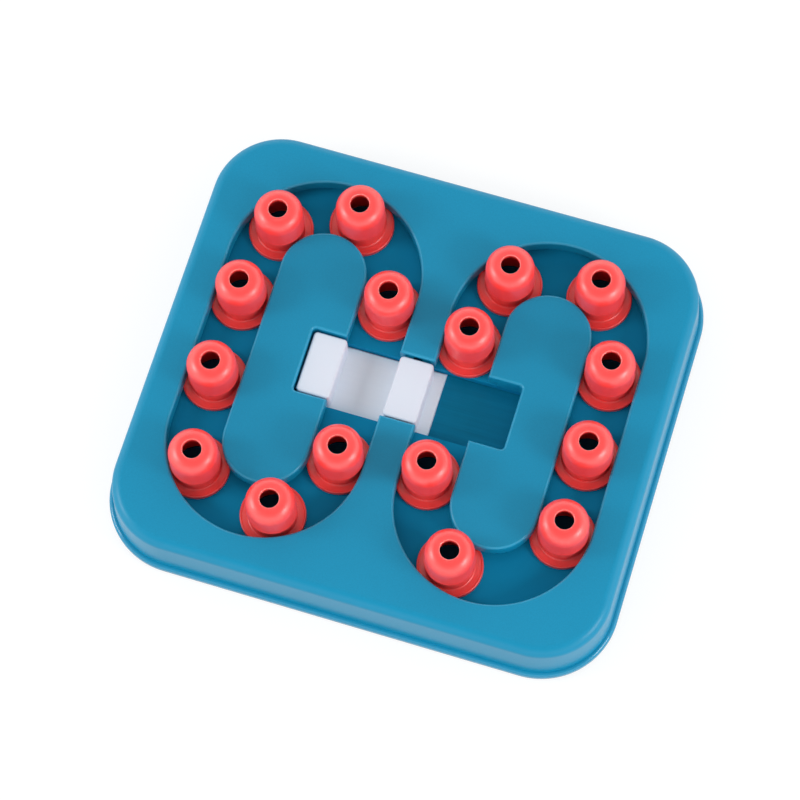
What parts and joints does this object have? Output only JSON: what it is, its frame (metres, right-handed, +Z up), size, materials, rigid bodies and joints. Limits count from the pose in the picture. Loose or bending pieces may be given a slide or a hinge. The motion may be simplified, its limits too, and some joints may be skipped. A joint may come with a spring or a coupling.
{
  "type": "dog puzzle feeder toy",
  "caption": "Rounded rectangular dog puzzle feeder board: hollow pegs captive in racetrack grooves round two islands, and a cross slider that gates the tracks.",
  "frame": {"origin": "middle of the board on the surface that it stands on, under the rubber feet", "axes": "+X along the slider's travel to the right, +Y along the straights of the tracks away from the user, +Z up"},
  "size_m": [0.262, 0.234, 0.0517],
  "materials": {
    "teal_plastic": "satin moulded ABS",
    "deep_teal_plastic": "satin moulded ABS, in the shade of the grooves",
    "coral_plastic": "semi-gloss moulded ABS",
    "ivory_plastic": "satin moulded ABS",
    "zinc_steel": "zinc plated",
    "grey_rubber": "moulded rubber"
  },
  "bodies": {
    "board": {"base_tray": "teal_plastic", "track_plate": "deep_teal_plastic", "top_cover": "teal_plastic", "left_island": "teal_plastic", "right_island": "teal_plastic", "cover_screws": "zinc_steel", "island_screws": "zinc_steel", "rubber_feet": "grey_rubber"},
    "slider": {"slider": "ivory_plastic"},
    "peg_01": {"peg_01": "coral_plastic"},
    "peg_02": {"peg_02": "coral_plastic"},
    "peg_03": {"peg_03": "coral_plastic"},
    "peg_04": {"peg_04": "coral_plastic"},
    "peg_05": {"peg_05": "coral_plastic"},
    "peg_06": {"peg_06": "coral_plastic"},
    "peg_07": {"peg_07": "coral_plastic"},
    "peg_08": {"peg_08": "coral_plastic"},
    "peg_09": {"peg_09": "coral_plastic"},
    "peg_10": {"peg_10": "coral_plastic"},
    "peg_11": {"peg_11": "coral_plastic"},
    "peg_12": {"peg_12": "coral_plastic"},
    "peg_13": {"peg_13": "coral_plastic"},
    "peg_14": {"peg_14": "coral_plastic"},
    "peg_15": {"peg_15": "coral_plastic"},
    "peg_16": {"peg_16": "coral_plastic"}
  },
  "joints": [
    {"name": "slider_shift", "type": "slide", "parent": "board", "child": "slider", "axis": [1, 0, 0], "range_m": [0, 0.0444]},
    {"name": "peg_01_slide", "type": "slide", "parent": "board", "child": "peg_01", "axis": [0, 1, 0], "range_m": [-0.0135, 0.0055]},
    {"name": "peg_02_round_bend", "type": "hinge", "parent": "board", "child": "peg_02", "pos_m": [-0.0587, 0.046, 0.0212], "axis": [0, 0, 1], "range_deg": [-28.5, 14.5]},
    {"name": "peg_03_round_bend", "type": "hinge", "parent": "board", "child": "peg_03", "pos_m": [-0.0587, 0.046, 0.0212], "axis": [0, 0, 1], "range_deg": [-14.5, 14.5]},
    {"name": "peg_04_slide", "type": "slide", "parent": "board", "child": "peg_04", "axis": [0, -1, 0], "range_m": [-0.0085, 0.011]},
    {"name": "peg_05_slide", "type": "slide", "parent": "board", "child": "peg_05", "axis": [0, -1, 0], "range_m": [-0.011, 0.013]},
    {"name": "peg_06_round_bend", "type": "hinge", "parent": "board", "child": "peg_06", "pos_m": [-0.0587, -0.046, 0.0212], "axis": [0, 0, 1], "range_deg": [-21.5, 23]},
    {"name": "peg_07_round_bend", "type": "hinge", "parent": "board", "child": "peg_07", "pos_m": [-0.0587, -0.046, 0.0212], "axis": [0, 0, 1], "range_deg": [-23, 16.5]},
    {"name": "peg_08_slide", "type": "slide", "parent": "board", "child": "peg_08", "axis": [0, 1, 0], "range_m": [-0.002, 0.017]},
    {"name": "peg_09_slide", "type": "slide", "parent": "board", "child": "peg_09", "axis": [0, 1, 0], "range_m": [-0.0095, 0.01]},
    {"name": "peg_10_round_bend", "type": "hinge", "parent": "board", "child": "peg_10", "pos_m": [0.0587, 0.046, 0.0212], "axis": [0, 0, 1], "range_deg": [-18, 23.5]},
    {"name": "peg_11_round_bend", "type": "hinge", "parent": "board", "child": "peg_11", "pos_m": [0.0587, 0.046, 0.0212], "axis": [0, 0, 1], "range_deg": [-23.5, 8.5]},
    {"name": "peg_12_slide", "type": "slide", "parent": "board", "child": "peg_12", "axis": [0, -1, 0], "range_m": [-0.005, 0.006]},
    {"name": "peg_13_slide", "type": "slide", "parent": "board", "child": "peg_13", "axis": [0, -1, 0], "range_m": [-0.0115, 0.007]},
    {"name": "peg_14_round_bend", "type": "hinge", "parent": "board", "child": "peg_14", "pos_m": [0.0587, -0.046, 0.0212], "axis": [0, 0, 1], "range_deg": [-24.5, 51]},
    {"name": "peg_15_round_bend", "type": "hinge", "parent": "board", "child": "peg_15", "pos_m": [0.0587, -0.046, 0.0212], "axis": [0, 0, 1], "range_deg": [-51, 4]},
    {"name": "peg_16_slide", "type": "slide", "parent": "board", "child": "peg_16", "axis": [0, 1, 0], "range_m": [-0.008, 0.0095]}
  ]
}
